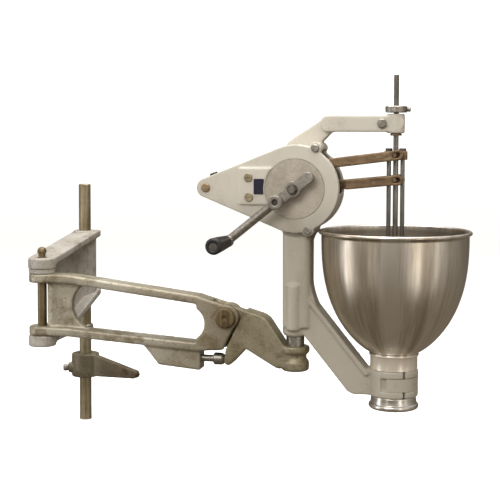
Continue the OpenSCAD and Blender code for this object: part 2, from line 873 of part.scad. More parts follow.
module frame()
    color("#c9c0ad")
        at_swivel()
            difference() {
                union() {
                    column();
                    translate([0, 0, foot_z])
                        round_turned(foot_r, foot_h, foot_round);
                    lower_arm();
                    top_arm();
                    along_y(face_gap, column_d / 2)
                        taper([column_shift, shaft_z], drum_r * flare_share,
                            [column_shift, shaft_z - drum_r * flare_drop_share], column_w / 2);
                    translate([column_shift, 0, shaft_z])
                        along_y(face_gap, back_d)
                            head_outline(0);
                }
                translate([column_shift, 0, shaft_z]) {
                    along_y(-over, back_d - floor_t)
                        taper([0, 0], drum_r - drum_wall, [-lever_reach, 0], nose_r - drum_wall);
                    lever_exit(-over, exit_y);
                    along_y(-over, back_d - floor_t / 4)
                        translate([-lever_reach, 0])
                            circle(lever_pin_r + seat_fit);
                    along_y(-over, cover_screw_in + over)
                        for (p = lug_places)
                            translate(p)
                                circle(cover_screw_r + seat_fit);
                }
                translate([0, 0, foot_z - over])
                    cylinder(r = swivel_r + run_fit, h = swivel_len + 2 * over);
                translate([0, 0, shoulder_z])
                    cylinder(r = shoulder_r + swing_gap, h = foot_z - shoulder_z);
                translate([0, 0, socket_z])
                    cylinder(r = socket_r + 2 * swing_gap, h = socket_h + swing_gap);
                translate([hopper_reach, 0, 0]) {
                    translate([0, 0, clamp_z - over])
                        cylinder(r = cylinder_r + seat_fit, h = clamp_h + 2 * over);
                    rotate([0, 0, split_turn])
                        translate([cylinder_r - over, -split_w / 2, clamp_z - over])
                            cube([clamp_r, split_w, clamp_h + 2 * over]);
                    pocket_sector(clamp_r - pocket_d, clamp_r + over, pocket_from, pocket_to, pocket_h);
                    for (t = clamp_screw_turns)
                        translate([0, 0, clamp_z + clamp_h / 2])
                            rotate([0, 0, split_turn + t])
                                rotate([0, 90, 0])
                                    cylinder(r = clamp_screw_r + seat_fit, h = clamp_r);
                    translate([0, 0, guide_z - over])
                        cylinder(r = bush_r + seat_fit, h = guide_h + 2 * over);
                    translate([-guide_bolt_dx, 0, guide_z + guide_h / 2])
                        to_user()
                            cylinder(r = guide_bolt_r + seat_fit, h = top_arm_t + 2 * over, center = true);
                }
            }

module clamp_bridge()
    color("#b9b1a1")
        difference() {
            at_hopper()
                pocket_sector(clamp_r - pocket_d + seat_fit, clamp_r - edge / 2, bridge_from,
                    pocket_to - bridge_play, pocket_h - 2 * face_gap);
            on_clamp_screws()
                cylinder(r = clamp_screw_r + seat_fit, h = clamp_r + over);
        }

module clamp_screws()
    color("#8c887e")
        on_clamp_screws()
            translate([0, 0, cylinder_r + edge])
                cylinder(r = clamp_screw_r, h = clamp_r - cylinder_r - 2 * edge);

module guide_bush()
    color("#9a7a4a")
        at_hopper()
            translate([0, 0, guide_z - bush_flange_h])
                difference() {
                    union() {
                        turned(bush_flange_r, bush_flange_h, edge / 2);
                        cylinder(r = bush_r, h = guide_h + bush_flange_h);
                    }
                    translate([0, 0, -over])
                        cylinder(r = centre_rod_r + run_fit, h = guide_h + bush_flange_h + 2 * over);
                }

module guide_bolt()
    color("#8f8a80")
        at_hopper()
            translate([-guide_bolt_dx, 0, guide_z + guide_h / 2])
                to_user() {
                    cylinder(r = guide_bolt_r, h = top_arm_t, center = true);
                    translate([0, 0, top_arm_t / 2])
                        turned(guide_bolt_head_r, guide_bolt_head_h, edge);
                }

// Head cover and what is fixed to it

pad_proud = 4;
pad_left = 104;
pad_foot = 30;
pad_top = 38;
plate_recess = 6;
plate_proud = 1;
hub_r = 20;
hub_in = 13;
pad_screw_places = [[-86, 20], [-85, -16]];
pad_screw_r = 4;
pad_screw_head_r = 8;
pad_screw_head_h = 3;
pad_screw_in = 8;
slot_w = 2;
slot_d = 1.5;
index_w = 19;
index_h = 28;
index_t = 2;
index_at = [-66, 4];
plug_r = 8;
plug_h = 4;
plug_stem_r = 4;
plug_share = 0.12;
pin_head_out = 4;
lever_pin_head_r = 8;

module head_cover()
    color("#e4dfcf")
        at_shaft()
            difference() {
                union() {
                    along_y(-front_d, 0)
                        head_outline(0);
                    along_y(-front_d - pad_proud, -front_d)
                        intersection() {
                            difference() {
                                translate([-pad_left, -pad_foot])
                                    square([pad_left, pad_foot + pad_top]);
                                circle(plate_r + edge);
                            }
                            head_outline(0, false);
                        }
                }
                along_y(drum_wall - front_d, over)
                    taper([0, 0], drum_r - drum_wall, [-lever_reach, 0], nose_r - drum_wall);
                along_y(-front_d - pad_proud - over, plate_recess - front_d)
                    circle(plate_r + seat_fit);
                along_y(-front_d, drum_wall + over - front_d)
                    circle(hub_r + seat_fit);
                lever_exit(-exit_y, over);
                along_y(-front_d - over, over) {
                    translate([-lever_reach, 0])
                        circle(lever_pin_r + seat_fit);
                    for (p = lug_places)
                        translate(p)
                            circle(cover_screw_r + seat_fit);
                }
                along_y(-front_d - pad_proud - over, pad_screw_in - front_d - pad_proud)
                    for (p = pad_screw_places)
                        translate(p)
                            circle(pad_screw_r + seat_fit);
                on_oil_plug()
                    translate([0, 0, -2 * drum_wall])
                        cylinder(r = plug_stem_r + seat_fit, h = 2 * drum_wall + over);
            }

module cover_screws()
    color("#8a8478")
        at_shaft()
            for (p = lug_places) {
                along_y(-front_d, cover_screw_in)
                    translate(p)
                        circle(cover_screw_r);
                translate([p.x, -front_d, p.y])
                    to_user()
                        turned(cover_screw_head_r, cover_screw_head_h, edge);
            }

module pad_screws()
    color("#8f8671")
        at_shaft()
            for (p = pad_screw_places)
                translate([p.x, -front_d - pad_proud, p.y])
                    to_user()
                        difference() {
                            union() {
                                translate([0, 0, face_gap - pad_screw_in])
                                    cylinder(r = pad_screw_r, h = pad_screw_in);
                                turned(pad_screw_head_r, pad_screw_head_h, edge / 2);
                            }
                            translate([-pad_screw_head_r, -slot_w / 2, pad_screw_head_h - slot_d])
                                cube([2 * pad_screw_head_r, slot_w, slot_d + over]);
                        }

module index_plate()
    color("#1b1f4d")
        at_shaft()
            along_y(-front_d - pad_proud - index_t, -front_d - pad_proud)
                translate(index_at)
                    intersection() {
                        round_rect(index_w, index_h, edge);
                        translate(-index_at)
                            translate([-pad_left, -pad_foot])
                                difference() {
                                    square([pad_left, pad_foot + pad_top]);
                                    translate([pad_left, pad_foot])
                                        circle(plate_r + 2 * edge);
                                }
                    }

// Points Z out of the nose's sloping top
module on_oil_plug() {
    lean = 180 - acos((drum_r - nose_r) / lever_reach);
    nose_end = [-lever_reach, 0] + polar(nose_r, lean);
    at = nose_end + plug_share * (polar(drum_r, lean) - nose_end);
    translate([at.x, -front_d / 2, at.y])
        rotate([0, 90 - lean, 0])
            children();
}

module oil_plug()
    color("#26251f")
        at_shaft()
            on_oil_plug() {
                turned(plug_r, plug_h, edge);
                translate([0, 0, -drum_wall])
                    cylinder(r = plug_stem_r, h = drum_wall);
            }

module bearing_plate()
    color("#a19b90")
        at_shaft()
            difference() {
                union() {
                    along_y(-front_d - plate_proud, plate_recess - front_d)
                        circle(plate_r);
                    along_y(plate_recess - front_d, plate_recess + hub_in - front_d)
                        circle(hub_r);
                }
                along_y(-front_d - plate_proud - over, plate_recess + hub_in + over - front_d)
                    circle(shaft_r + run_fit);
            }

module lever_pin()
    color("#9b7d5c")
        at_shaft()
            translate([-lever_reach, 0, 0]) {
                along_y(-front_d, back_d - floor_t / 2)
                    circle(lever_pin_r);
                translate([0, -front_d, 0])
                    to_user()
                        turned(lever_pin_head_r, pin_head_out, edge);
            }

// Crankshaft and cam

hub_gap = 6;
hub_t = 16;
hub_mid_r = 15;
hub_tail = 34;
hub_tail_r = 11;
thread_r = 6;
nut_across = 15;
nut_h = 8;
crank_t = 18;
crank_end_r = 11;
crank_bolt_r = 5.5;
crank_bolt_sink = 4;
spindle_r = 5;
spindle_head_r = 6.7;
spindle_head_h = 6;
hub_front = front_d + plate_proud + hub_gap + hub_t;
crank_front = hub_front + crank_t;
grip_start = crank_front + over;
grip_end = grip_start + grip_len;
crank_turn = 180 + crank_droop;
crank_boss_at = polar(crank_boss_reach, crank_turn);
crank_end_at = polar(crank_len, crank_turn);

module crankshaft()
    color("#8d8a84")
        at_shaft() {
            along_y(-hub_front, cam_t / 2)
                circle(shaft_r);
            along_y(-hub_front - nut_h - edge, -hub_front)
                circle(thread_r);
        }

module crank_hub()
    color("#98938a")
        at_shaft()
            along_y(-hub_front, hub_t - hub_front)
                difference() {
                    union() {
                        bar(polar(-hub_tail, crank_turn), crank_boss_at, 2 * hub_tail_r - edge);
                        circle(hub_mid_r);
                        translate(polar(-hub_tail, crank_turn))
                            circle(hub_tail_r);
                        translate(crank_boss_at)
                            circle(crank_boss_r - edge);
                    }
                    circle(shaft_r + seat_fit);
                    translate(crank_boss_at)
                        circle(crank_bolt_r + seat_fit);
                }

module shaft_nut()
    color("#4b463f")
        at_shaft()
            translate([0, -hub_front, 0])
                to_user()
                    hex_nut(nut_across, thread_r + seat_fit, nut_h);

// Boss, round arm and eye for the grip
module crank_arm()
    color("#c4bcae")
        at_shaft()
            difference() {
                union() {
                    along_y(-crank_front, -hub_front) {
                        translate(crank_boss_at)
                            circle(crank_boss_r);
                        translate(crank_end_at)
                            circle(crank_end_r);
                    }
                    translate([crank_boss_at.x, -hub_front - crank_t / 2, crank_boss_at.y])
                        rotate([0, -crank_turn, 0])
                            rotate([0, 90, 0])
                                cylinder(r = crank_r, h = crank_len - crank_boss_reach);
                }
                along_y(-crank_front - over, over - hub_front) {
                    translate(crank_boss_at)
                        circle(crank_bolt_r + seat_fit);
                    translate(crank_end_at)
                        circle(spindle_r + seat_fit);
                }
            }

module crank_bolt()
    color("#57514a")
        at_shaft()
            along_y(crank_bolt_sink - crank_front, hub_t - edge - hub_front)
                translate(crank_boss_at)
                    circle(crank_bolt_r);

module grip_bolt()
    color("#8b8d90")
        at_shaft() {
            along_y(-grip_end + spindle_head_h, -hub_front)
                translate(crank_end_at)
                    circle(spindle_r);
            along_y(-grip_end, spindle_head_h - grip_end)
                translate(crank_end_at)
                    circle(spindle_head_r);
        }

// Tapered handle with a rounded outer end
module grip()
    color("#1d1d1f")
        at_shaft()
            translate([crank_end_at.x, -grip_start, crank_end_at.y])
                to_user()
                    difference() {
                        rotate_extrude()
                            polygon(concat([[0, 0], [grip_root_r - edge, 0], [grip_root_r, edge]],
                                [for (a = [0 : corner_step : 90]) [grip_r - cast_r / 2 * (1 - cos(a)),
                                    grip_len - cast_r / 2 * (1 - sin(a))]], [[0, grip_len]]));
                        translate([0, 0, -over])
                            cylinder(r = spindle_r + run_fit, h = grip_len + 2 * over);
                        translate([0, 0, grip_len - spindle_head_h - face_gap])
                            cylinder(r = spindle_head_r + slot_fit, h = spindle_head_h + over);
                    }

// Turn of a point about the origin, upwards from +X to +Z
function turned_up(p, turn) = [p.x * cos(turn) - p.y * sin(turn), p.x * sin(turn) + p.y * cos(turn)];

pivot_at = [-lever_reach, 0];
upper_knee_shares = [0.11, 0.67];
lower_knee_shares = [0.24, 0.18];
lower_roller_at = [8, -40];
upper_eye = [shaft_to_hopper, upper_eye_rise];
lower_eye = [shaft_to_hopper, lower_eye_rise];
upper_knee = [shaft_to_hopper * upper_knee_shares.x, upper_eye_rise * upper_knee_shares.y];
lower_knee = [shaft_to_hopper * lower_knee_shares.x, lower_eye_rise * lower_knee_shares.y];

// Lift of a lever at a turn of the crank: an even rise over the stroke, then a smooth fall
function lift_at(turn, lift) = turn <= stroke_turn ? lift * turn / stroke_turn
    : lift * (1 + cos(180 * (turn - stroke_turn) / (full_turn - stroke_turn))) / 2;

// Place of a roller on the cam at a turn of the crank
function track_point(roller, lift, turn) =
    turned_up(pivot_at + turned_up(roller - pivot_at, lift_at(turn, lift)), turn);

// One edge of a groove: the roller's track moved sideways
function track_edge(roller, lift, side) = [for (turn = [0 : track_step : full_turn - track_step])
    let (along = track_point(roller, lift, turn + track_step / 4)
            - track_point(roller, lift, (turn + full_turn - track_step / 4) % full_turn))
        track_point(roller, lift, turn) + side * [along.y, -along.x] / norm(along)];

track_step = 6;
full_turn = 360;
roller_axle_r = 3;

module groove(roller, lift)
    difference() {
        polygon(track_edge(roller, lift, roller_r + slot_fit));
        polygon(track_edge(roller, lift, -roller_r - slot_fit));
    }

module cam()
    color("#7f7c76")
        at_shaft()
            difference() {
                along_y(-cam_t / 2, cam_t / 2)
                    circle(cam_r);
                along_y(-cam_t / 2 - over, cam_t / 2 + over)
                    circle(shaft_r + seat_fit);
                along_y(-cam_t / 2 - over, groove_d - cam_t / 2)
                    groove(upper_knee, upper_lift);
                along_y(cam_t / 2 - groove_d, cam_t / 2 + over)
                    groove(lower_roller_at, lower_lift);
            }

// Levers: a cranked bar from the pivot that ends in a fork about the rods

eye_r = 10;
eye_pin_r = 4;
eye_slot = 5.5;
pivot_eye_r = 11;
fork_x = 90;
fork_len = 14;
upper_roller_len = cam_t / 2 - groove_d + slot_fit * 2;

function on_line(a, b, x) = a + (b - a) * (x - a.x) / (b.x - a.x);

// Slot for the eye's pin, drawn along the line to the pivot
module eye_slot_outline(eye, r)
    taper(eye, r, eye + eye_slot * (eye - pivot_at) / norm(eye - pivot_at), r - join_in);

// side is -1 for a lever in front of the cam and 1 for one behind it
module lever(knee, eye, side, roller) {
    inner = side > 0 ? lever_y : -lever_y - lever_t;
    fork_at = on_line(knee, eye, fork_x);
    difference() {
        union() {
            along_y(inner, inner + lever_t) {
                translate(pivot_at)
                    circle(pivot_eye_r);
                bar(pivot_at, knee, lever_h);
                translate(knee)
                    circle(lever_h / 2 + join_in);
                bar(knee, eye, lever_h);
                eye_slot_outline(eye, eye_r);
                if (roller != knee)
                    taper(on_line(pivot_at, knee, roller.x), lever_h / 2 - edge, roller, eye_r);
            }
            along_y(-inner - lever_t, -inner) {
                bar(fork_at, eye, lever_h);
                eye_slot_outline(eye, eye_r);
            }
            along_y(-lever_y - lever_t / 2, lever_y + lever_t / 2)
                bar(on_line(knee, eye, fork_x + edge), on_line(knee, eye, fork_x + fork_len),
                    lever_h - edge);
        }
        along_y(-lever_y - lever_t - over, lever_y + lever_t + over)
            eye_slot_outline(eye, eye_pin_r + slot_fit + 2 * join_in);
        along_y(inner - over, inner + lever_t + over) {
            translate(pivot_at)
                circle(lever_pin_r + run_fit);
            translate(roller)
                circle(roller_axle_r + seat_fit);
        }
    }
}

// side as for the lever
module roller(at, side)
    translate([at.x, 0, at.y])
        mirror([0, side > 0 ? 0 : 1, 0]) {
            along_y(upper_roller_len, lever_y - face_gap)
                circle(roller_r);
            along_y(lever_y - face_gap, lever_y + lever_t)
                circle(roller_axle_r);
        }

module upper_lever() color("#8a6a48") at_shaft() lever(upper_knee, upper_eye, -1, upper_knee);
module lower_lever() color("#8a6a48") at_shaft() lever(lower_knee, lower_eye, 1, lower_roller_at);
module upper_roller() color("#9a968e") at_shaft() roller(upper_knee, -1);
module lower_roller() color("#9a968e") at_shaft() roller(lower_roller_at, 1);

// Rods, crosshead, piston and drop disc

head_half_y = lever_y - slot_fit * 2;
crosshead_side = 4;
crosshead_h = 16;
rod_eye_w = 14.8;
rod_eye_h = 18;
rod_nut_across = 11;
rod_nut_h = 5;
stop_r = 20;
stop_h = 12;
stop_lift = 2;
stop_screw_r = 3;
stop_nub_r = 4.5;
stop_nub_len = 6;
disc_lift = 1;
piston_lift = 33;
rod_in_piston = 12;
upper_eye_z = shaft_z + upper_eye_rise;
lower_eye_z = shaft_z + lower_eye_rise;
piston_z = outlet_z + piston_lift;

// Block about the rods with a stub on each side for a lever's fork
module trunnion_block(w, h)
    union() {
        cube([w, 2 * head_half_y, h], center = true);
        to_user()
            cylinder(r = eye_pin_r, h = 2 * (lever_y + lever_t), center = true);
    }

module at_outer_rods()
    at_hopper()
        for (side = [-1, 1])
            translate([side * outer_rod_dx, 0, 0])
                children();

module crosshead()
    color("#7d6347")
        difference() {
            at_hopper()
                translate([0, 0, upper_eye_z])
                    difference() {
                        trunnion_block(2 * (outer_rod_dx + outer_rod_r + crosshead_side), crosshead_h);
                        translate([0, 0, -crosshead_h / 2 - over])
                            cylinder(r = centre_rod_r + slot_fit, h = crosshead_h + 2 * over);
                    }
            at_outer_rods()
                translate([0, 0, upper_eye_z - crosshead_h / 2 - over])
                    cylinder(r = outer_rod_r + seat_fit, h = crosshead_h + 2 * over);
        }

module outer_rods()
    color("#9c9991")
        at_outer_rods()
            translate([0, 0, piston_z + piston_h - rod_in_piston])
                cylinder(r = outer_rod_r,
                    h = upper_eye_z + crosshead_h / 2 + rod_nut_h - piston_z - piston_h + rod_in_piston);

module rod_nuts()
    color("#6e5b44")
        at_outer_rods()
            translate([0, 0, upper_eye_z + crosshead_h / 2])
                hex_nut(rod_nut_across, outer_rod_r + seat_fit, rod_nut_h);

module piston()
    color("#c5c5c2")
        difference() {
            at_hopper()
                translate([0, 0, piston_z])
                    ring(bore_r - run_fit, centre_rod_r + run_fit, piston_h, edge / 2);
            at_outer_rods()
                translate([0, 0, piston_z + piston_h - rod_in_piston])
                    cylinder(r = outer_rod_r + seat_fit, h = rod_in_piston + over);
        }

module centre_rod()
    color("#a7a49c")
        at_hopper()
            translate([0, 0, outlet_z + disc_lift])
                turned(centre_rod_r, shaft_z + rod_top_rise - outlet_z - disc_lift, edge / 2);

module rod_eye()
    color("#7d6347")
        at_hopper()
            translate([0, 0, lower_eye_z])
                difference() {
                    trunnion_block(rod_eye_w, rod_eye_h);
                    translate([0, 0, -rod_eye_h / 2 - over])
                        cylinder(r = centre_rod_r + seat_fit, h = rod_eye_h + 2 * over);
                }

module stop_collar()
    color("#c9bfa6")
        at_hopper()
            translate([0, 0, guide_top + stop_lift])
                difference() {
                    ring(stop_r, centre_rod_r + seat_fit, stop_h, edge);
                    translate([0, 0, stop_h / 2])
                        rotate([0, 90, 0])
                            cylinder(r = stop_screw_r + seat_fit, h = stop_r + over);
                }

module stop_screw()
    color("#8e8a80")
        at_hopper()
            translate([0, 0, guide_top + stop_lift + stop_h / 2])
                rotate([0, 90, 0]) {
                    translate([0, 0, centre_rod_r + face_gap])
                        cylinder(r = stop_screw_r, h = stop_r - centre_rod_r);
                    translate([0, 0, stop_r + face_gap])
                        turned(stop_nub_r, stop_nub_len, edge / 2);
                }

module drop_disc()
    color("#c9c9c6")
        at_hopper()
            translate([0, 0, outlet_z + disc_lift])
                ring(bore_r - run_fit, centre_rod_r + seat_fit, disc_h, edge / 2);

// Hopper and outlet

bowl_flat_exp = 2.7;
bowl_turn_exp = 0.79;
bowl_spread_exp = 1.5;
bowl_steps = 28;
wall_slant_share = 0.7;
spigot_h = 22;
spigot_lip = 2;
outlet_lip = 8;
outlet_neck_r = 41;
outlet_foot_r = 43.5;
outlet_crest_share = 0.42;
bowl_r = hopper_reach - column_shift - column_w / 2 - bowl_gap;
hopper_z = clamp_top + face_gap;
bowl_z = hopper_z + hopper_neck_h;

// Point up the bowl's outside: it swells fast over the neck and stands straight at the rim
function bowl_point(t) = [hopper_neck_r + (bowl_r - hopper_neck_r)
    * pow(1 - pow(1 - t, bowl_flat_exp), bowl_turn_exp), bowl_z + bowl_h * t];

bowl_outside = [for (i = [0 : bowl_steps]) bowl_point(pow(i / bowl_steps, bowl_spread_exp))];
wall_shift = hopper_wall * wall_slant_share * [-1, 1];
bowl_inside = concat([bowl_outside[bowl_steps] - [hopper_wall, 0]],
    [for (i = [bowl_steps - 1 : -1 : 0]) bowl_outside[i] + wall_shift]);

module hopper()
    color("#b9b4ab")
        at_hopper() {
            rotate_extrude()
                polygon(concat([[hopper_neck_r, hopper_z]], bowl_outside, bowl_inside,
                    [[hopper_neck_r - hopper_wall, bowl_z], [hopper_neck_r - hopper_wall, hopper_z]]));
            translate([0, 0, bowl_z + bowl_h])
                rotate_extrude()
                    translate([bowl_r + bead_r - hopper_wall, 0])
                        circle(bead_r);
        }

spigot_r = hopper_neck_r - hopper_wall - seat_fit;

// Turned liner that the clamp holds: spigot for the hopper, funnel and bore
module outlet_cylinder()
    color("#bcbab4")
        at_hopper()
            rotate_extrude()
                polygon([[bore_r, outlet_z + outlet_lip + face_gap],
                    [cylinder_r, outlet_z + outlet_lip + face_gap],
                    [cylinder_r, clamp_top + face_gap / 2], [spigot_r, clamp_top + face_gap / 2],
                    [spigot_r, clamp_top + spigot_h], [spigot_r - spigot_lip, clamp_top + spigot_h],
                    [bore_r, clamp_top + spigot_lip]]);

module outlet_ring()
    color("#d8d6d0")
        at_hopper()
            rotate_extrude()
                polygon([[bore_r, outlet_z], [outlet_foot_r - edge, outlet_z],
                    [outlet_foot_r, outlet_z + edge],
                    [outlet_r, outlet_z + outlet_h * outlet_crest_share - edge],
                    [outlet_r, outlet_z + outlet_h * outlet_crest_share],
                    [outlet_neck_r, clamp_z - edge], [outlet_neck_r, clamp_z - face_gap],
                    [cylinder_r + seat_fit, clamp_z - face_gap],
                    [cylinder_r + seat_fit, outlet_z + outlet_lip], [bore_r, outlet_z + outlet_lip]]);

post();
stop_ring();
lever_collar();
collar_screw();
bracket();
bracket_screw();
hinge_pin();
hinge_washer();
swing_arm();
tilt_bolt();
tilt_nut();
level_screw();
knuckle();
swivel_pin();
frame();
clamp_bridge();
clamp_screws();
head_cover();
cover_screws();
pad_screws();
index_plate();
oil_plug();
bearing_plate();
lever_pin();
guide_bush();
guide_bolt();
crankshaft();
cam();
crank_hub();
shaft_nut();
crank_arm();
crank_bolt();
grip_bolt();
grip();
upper_lever();
upper_roller();
lower_lever();
lower_roller();
crosshead();
outer_rods();
rod_nuts();
piston();
centre_rod();
rod_eye();
stop_collar();
stop_screw();
drop_disc();
hopper();
outlet_cylinder();
outlet_ring();
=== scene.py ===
"""Looks of a hand-cranked batter depositor on a swing arm.

Skins stand for the spun, turned and moulded pieces, the castings are softened, every piece gets a worn
procedural finish, and a camera and a pale studio match the photograph. Lengths are in metres.
"""
import json
import math

import bmesh
import bpy
import numpy as np
from mathutils import Matrix, Vector


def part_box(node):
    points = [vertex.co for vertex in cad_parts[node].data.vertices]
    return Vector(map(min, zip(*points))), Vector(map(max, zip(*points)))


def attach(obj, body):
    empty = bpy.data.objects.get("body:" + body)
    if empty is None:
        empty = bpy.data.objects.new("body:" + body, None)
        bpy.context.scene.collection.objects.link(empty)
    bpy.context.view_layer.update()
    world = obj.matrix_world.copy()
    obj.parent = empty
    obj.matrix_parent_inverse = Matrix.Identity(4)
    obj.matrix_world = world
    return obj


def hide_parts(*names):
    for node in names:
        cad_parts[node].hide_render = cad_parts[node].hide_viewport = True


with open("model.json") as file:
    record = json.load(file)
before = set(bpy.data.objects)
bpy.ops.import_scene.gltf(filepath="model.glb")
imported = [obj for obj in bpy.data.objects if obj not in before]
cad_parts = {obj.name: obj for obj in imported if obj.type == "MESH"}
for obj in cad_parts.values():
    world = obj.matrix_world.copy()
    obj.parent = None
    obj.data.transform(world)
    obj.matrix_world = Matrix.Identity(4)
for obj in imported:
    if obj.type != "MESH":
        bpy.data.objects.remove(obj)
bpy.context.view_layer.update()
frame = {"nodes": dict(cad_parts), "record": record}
nodes = frame["nodes"]


# Shading: values that read like arithmetic, and the nodes of one material

class Value:
    """A number that varies over a surface. Arithmetic on it adds Math nodes."""

    def __init__(self, maker, socket):
        self.maker = maker
        self.socket = socket

    def math(self, operation, *others):
        """A Math node with this value as its first input."""
        return self.maker.math(operation, self, *others)

    def __add__(self, other):
        return self.math("ADD", other)

    def __radd__(self, other):
        return self.math("ADD", other)

    def __sub__(self, other):
        return self.math("SUBTRACT", other)

    def __rsub__(self, other):
        return self.maker.math("SUBTRACT", other, self)

    def __mul__(self, other):
        return self.math("MULTIPLY", other)

    def __rmul__(self, other):
        return self.math("MULTIPLY", other)

    def __truediv__(self, other):
        return self.math("DIVIDE", other)

    def __rtruediv__(self, other):
        return self.maker.math("DIVIDE", other, self)

    def __pow__(self, other):
        return self.math("POWER", other)

    def __rpow__(self, other):
        return self.maker.math("POWER", other, self)

    def step(self, low, high):
        """0 below low, 1 above high, smooth between."""
        inputs = {"Value": self, "From Min": low, "From Max": high}
        return self.maker.value("ShaderNodeMapRange", "Result", inputs, interpolation_type="SMOOTHSTEP")


class Nodes:
    """The nodes of one material, or of the light all round."""

    def __init__(self, tree, place):
        self.tree = tree
        self.place = self.node("ShaderNodeTexCoord").outputs[place]

    def put(self, socket, value):
        """Links a varying value or colour to a socket, or sets a plain one on it."""
        value = value.socket if isinstance(value, Value) else value
        if isinstance(value, bpy.types.NodeSocket):
            self.tree.links.new(value, socket)
        else:
            socket.default_value = value

    def node(self, kind, inputs=None, **settings):
        """Any node: its settings first, then its sockets by name or place."""
        node = self.tree.nodes.new(kind)
        for key, value in settings.items():
            setattr(node, key, value)
        for key, value in (inputs or {}).items():
            self.put(node.inputs[key], value)
        return node

    def value(self, kind, output, inputs, **settings):
        """One output of a node, as a value."""
        return Value(self, self.node(kind, inputs, **settings).outputs[output])

    def math(self, operation, *values):
        """A Math node."""
        return self.value("ShaderNodeMath", 0, dict(enumerate(values)), operation=operation)

    def axis(self, letter):
        """One coordinate, in metres on a material."""
        return self.value("ShaderNodeSeparateXYZ", letter, {"Vector": self.place})

    def noise(self, scale, detail, roughness=0.55, stretch=(1, 1, 1), shift=(0, 0, 0), place=None):
        """Fractal noise, about 0 to 1, over a place that is stretched and shifted."""
        moved = self.node("ShaderNodeVectorMath", {0: place or self.place, 1: stretch, 2: shift},
                          operation="MULTIPLY_ADD").outputs[0]
        inputs = {"Vector": moved, "Scale": scale, "Detail": detail, "Roughness": roughness}
        return self.value("ShaderNodeTexNoise", "Fac", inputs)

    def mix(self, share, first, second):
        """Colour between first and second."""
        first, second = (c if isinstance(c, bpy.types.NodeSocket) else (*c, 1) for c in (first, second))
        return self.node("ShaderNodeMix", {0: share, 6: first, 7: second}, data_type="RGBA").outputs[2]


class Finish(Nodes):
    """A material under construction: one Principled shader and the nodes that feed it."""

    def __init__(self, name, **constants):
        self.material = bpy.data.materials.new(name)
        self.material.use_nodes = True
        super().__init__(self.material.node_tree, "Object")
        self.shader = self.tree.nodes["Principled BSDF"]
        for key, value in constants.items():
            self.feed(key.replace("_", " "), value)

    def feed(self, name, value):
        """Gives the shader a value or colour."""
        self.put(self.shader.inputs[name], value)

    def bump(self, height, depth):
        """Relief of the given depth in metres."""
        relief = self.node("ShaderNodeBump", {"Height": height, "Strength": 1.0, "Distance": depth})
        self.feed("Normal", relief.outputs["Normal"])


# Finishes: one function for each way that a surface is made

def cast_metal(name, dark, light, stain, metallic, rough, darker_from=None, darker_to=None):
    """Sand-cast metal: cloudy tone, brown stain in patches and pits, fine grain, and a colour that turns
    darker, towards the stain, from one place along X to another."""
    f = Finish(name, Metallic=metallic)
    cloud = f.noise(scale=8, detail=5)
    patch = f.noise(scale=24, detail=6, roughness=0.65, shift=(3, 1, 2))
    grain = f.noise(scale=420, detail=3, roughness=0.6)
    pits = f.noise(scale=190, detail=2, roughness=0.5, shift=(1, 4, 2)).step(0.60, 0.70)
    tone = f.mix((cloud * 0.7 + grain * 0.3).step(0.32, 0.70), dark, light)
    soiled = f.mix(patch.step(0.48, 0.70) * 0.75, tone, stain)
    if darker_to is not None:
        # Darker from one place along X to another, towards the stain colour.
        darkening = (f.axis("X") + cloud * 0.04 - 0.02).step(darker_from, darker_to)
        soiled = f.mix(darkening * 0.62, soiled, stain)
    f.feed("Base Color", f.mix(pits * 0.5, soiled, stain))
    f.feed("Roughness", rough + patch * 0.22 + grain * 0.08)
    f.bump(grain * 0.55 + patch * 0.6 + cloud * 0.5 - pits * 0.35, depth=0.0010)
    return f.material


def paint(name, above, below, shade_turn_z, spread, stain):
    """Old enamel on a casting: one tone above a height and a darker one below, which is painted shade of the
    light from above, grime runs and small chips down to the bare metal."""
    bare_metal = (0.20, 0.18, 0.15)
    f = Finish(name, Metallic=0.0, Coat_Weight=0.10, Coat_Roughness=0.3)
    cloud = f.noise(scale=6, detail=5)
    runs = f.noise(scale=16, detail=5, roughness=0.6, stretch=(1, 1, 0.28))
    grain = f.noise(scale=260, detail=3, roughness=0.6)
    chips = f.noise(scale=75, detail=5, roughness=0.7, shift=(5, 2, 1))
    # Painted shade: below a height the tone turns darker, as if the light from above reached the lower parts
    # less.
    height = (f.axis("Z") + cloud * 0.05).step(shade_turn_z - spread, shade_turn_z + spread)
    tone = f.mix(height, below, above)
    worn = f.mix((runs * 0.75 + grain * 0.25).step(0.46, 0.74) * 0.5, tone, stain)
    bare = (chips + grain * 0.2).step(0.80, 0.86)
    f.feed("Base Color", f.mix(bare, worn, bare_metal))
    f.feed("Roughness", 0.36 + runs * 0.22 + grain * 0.1)
    f.feed("Metallic", bare * 0.6)
    f.bump(grain * 0.35 + cloud * 0.8 - bare * 0.4, depth=0.0009)
    return f.material


def steel(name, dark, light, rough, along=(1, 1, 1), metallic=0.9):
    """Drawn or turned steel: streaks along one direction, stains."""
    f = Finish(name, Metallic=metallic)
    streaks = f.noise(scale=140, detail=3, roughness=0.6, stretch=along)
    stain = f.noise(scale=18, detail=6, roughness=0.65)
    f.feed("Base Color", f.mix((streaks * 0.5 + stain * 0.5).step(0.32, 0.68), dark, light))
    f.feed("Roughness", rough + streaks * 0.15 + stain * 0.12)
    f.bump(streaks * 0.6 + stain * 0.4, depth=0.0003)
    return f.material


